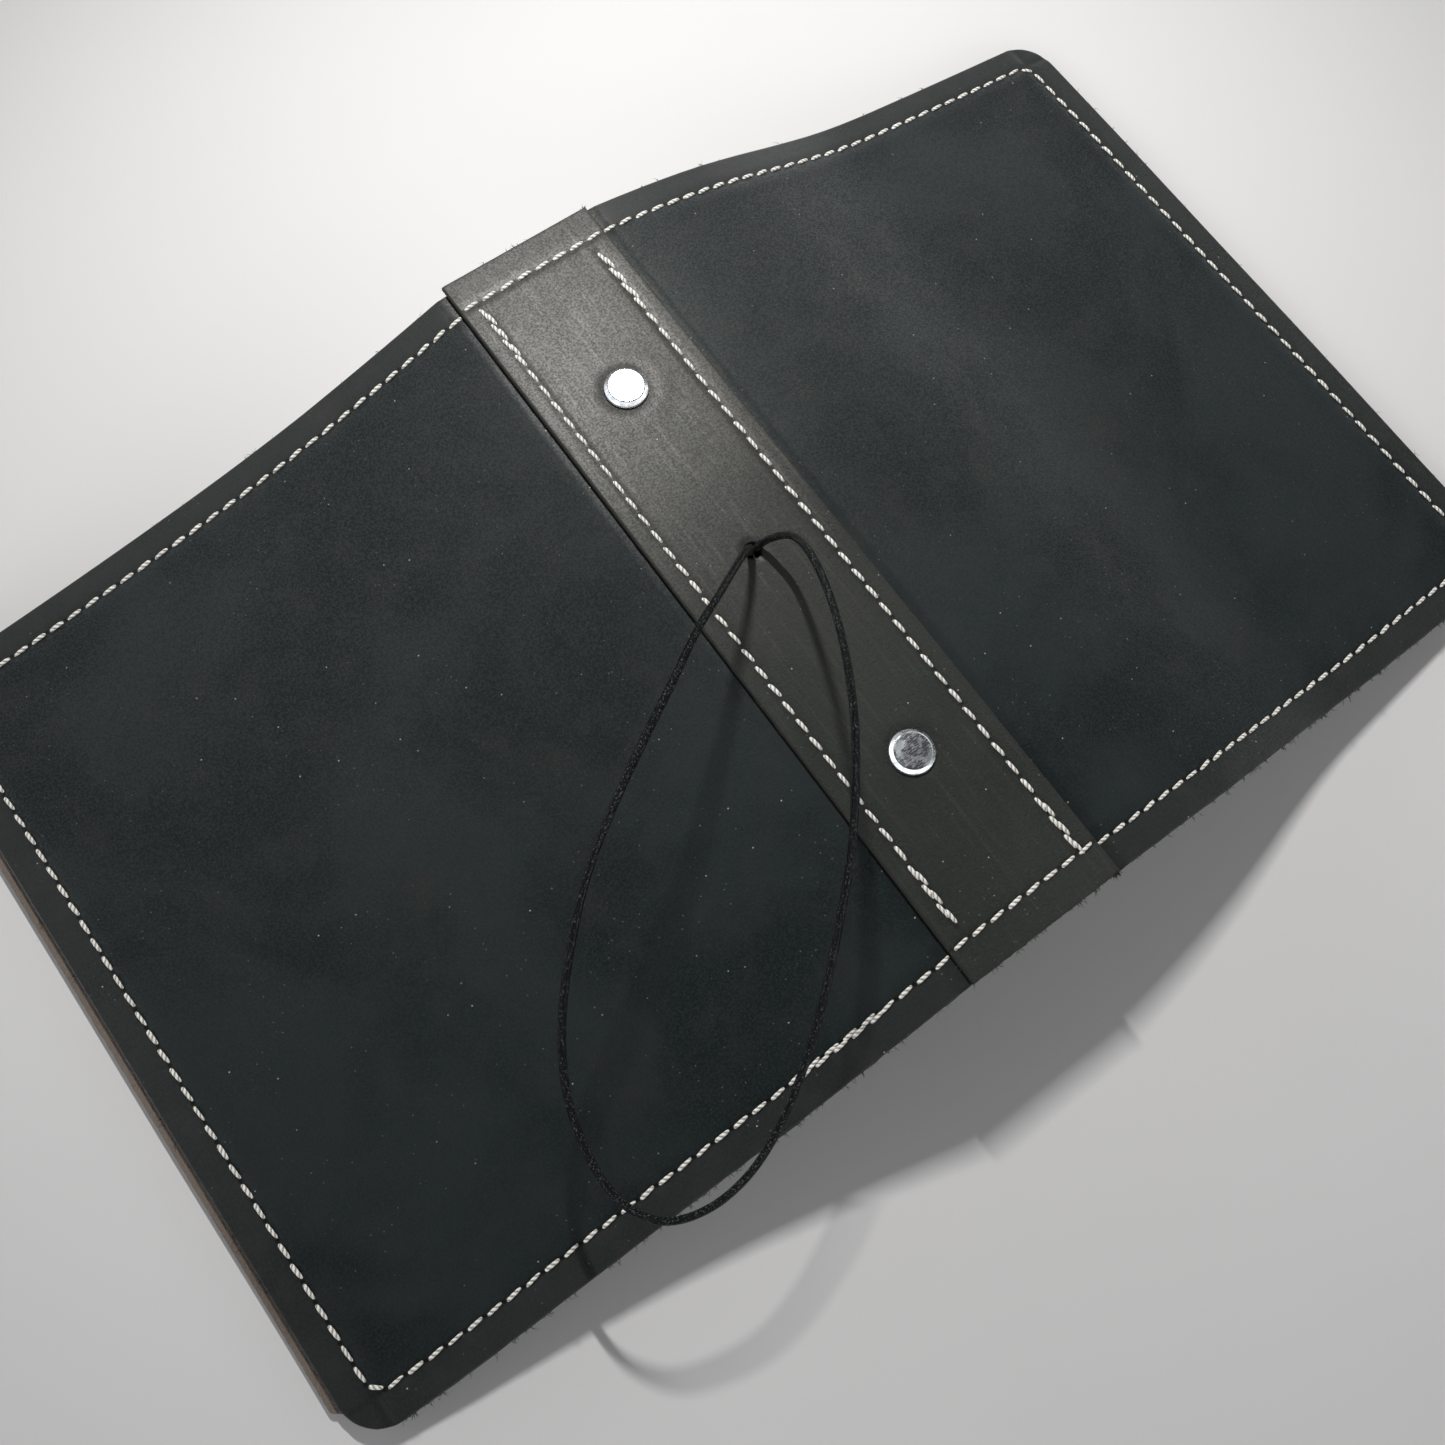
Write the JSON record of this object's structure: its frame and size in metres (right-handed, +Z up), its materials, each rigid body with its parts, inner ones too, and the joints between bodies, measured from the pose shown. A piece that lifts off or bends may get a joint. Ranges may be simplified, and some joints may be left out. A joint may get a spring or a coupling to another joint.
{
  "type": "leather notebook cover",
  "caption": "Leather ring-binder notebook cover with stitched covers, riveted spine strip, ring mechanism and elastic closing loop, lying open.",
  "frame": {"origin": "on the table under the middle of the spine, with the cover lying open and its outside up", "axes": "+X across the spine to the front cover, +Y along the spine to its far end, +Z up"},
  "size_m": [0.4086, 0.2396, 0.0778],
  "materials": {
    "outer_leather": "matte waxed leather with fine grain",
    "inner_leather": "matte leather, flesh side",
    "leather_board": "pressed leather board",
    "waxed_thread": "waxed twisted thread",
    "polished_metal": "polished nickel plate",
    "spring_steel": "plain rolled strip",
    "elastic_cord": "braided cover over a rubber core"
  },
  "bodies": {
    "spine": {"spine_strip": "outer_leather", "spine_stiffener": "leather_board", "spine_lining": "inner_leather", "front_margin": "outer_leather", "back_margin": "outer_leather", "front_row_thread": "waxed_thread", "back_row_thread": "waxed_thread", "far_end_thread": "waxed_thread", "near_end_thread": "waxed_thread", "far_rivet": "polished_metal", "near_rivet": "polished_metal", "far_rivet_foot": "polished_metal", "near_rivet_foot": "polished_metal", "ring_cover_plate": "polished_metal", "elastic_loop": "elastic_cord", "elastic_knot": "elastic_cord"},
    "front_cover": {"front_panel": "outer_leather", "front_pocket": "inner_leather", "front_edge_thread": "waxed_thread"},
    "back_cover": {"back_panel": "outer_leather", "back_pocket": "inner_leather", "back_edge_thread": "waxed_thread"},
    "front_rings": {"front_ring_blade": "spring_steel", "front_far_ring": "polished_metal", "front_near_ring": "polished_metal"},
    "back_rings": {"back_ring_blade": "spring_steel", "back_far_ring": "polished_metal", "back_near_ring": "polished_metal"},
    "far_ring_lever": {"far_lever": "polished_metal"},
    "near_ring_lever": {"near_lever": "polished_metal"}
  },
  "joints": [
    {"name": "front_cover_fold", "type": "hinge", "parent": "spine", "child": "front_cover", "pos_m": [0.0265, 0, 0.04], "axis": [0, 1, 0], "range_deg": [-90, 75]},
    {"name": "back_cover_fold", "type": "hinge", "parent": "spine", "child": "back_cover", "pos_m": [-0.0265, 0, 0.04], "axis": [0, -1, 0], "range_deg": [-9, 75]},
    {"name": "front_rings_open", "type": "hinge", "parent": "spine", "child": "front_rings", "pos_m": [0.0102, 0, 0.0359], "axis": [0, -1, 0], "range_deg": [0, 10]},
    {"name": "back_rings_open", "type": "hinge", "parent": "spine", "child": "back_rings", "pos_m": [-0.0102, 0, 0.0359], "axis": [0, 1, 0], "range_deg": [0, 10]},
    {"name": "far_lever_press", "type": "hinge", "parent": "spine", "child": "far_ring_lever", "pos_m": [0, 0.0725, 0.035], "axis": [1, 0, 0], "range_deg": [0, 20]},
    {"name": "near_lever_press", "type": "hinge", "parent": "spine", "child": "near_ring_lever", "pos_m": [0, -0.0725, 0.035], "axis": [-1, 0, 0], "range_deg": [0, 20]}
  ],
  "couplings": [
    {"joint": "back_rings_open", "follows": "front_rings_open", "ratio": 1},
    {"joint": "far_lever_press", "follows": "front_rings_open", "ratio": 2},
    {"joint": "near_lever_press", "follows": "front_rings_open", "ratio": 2}
  ]
}
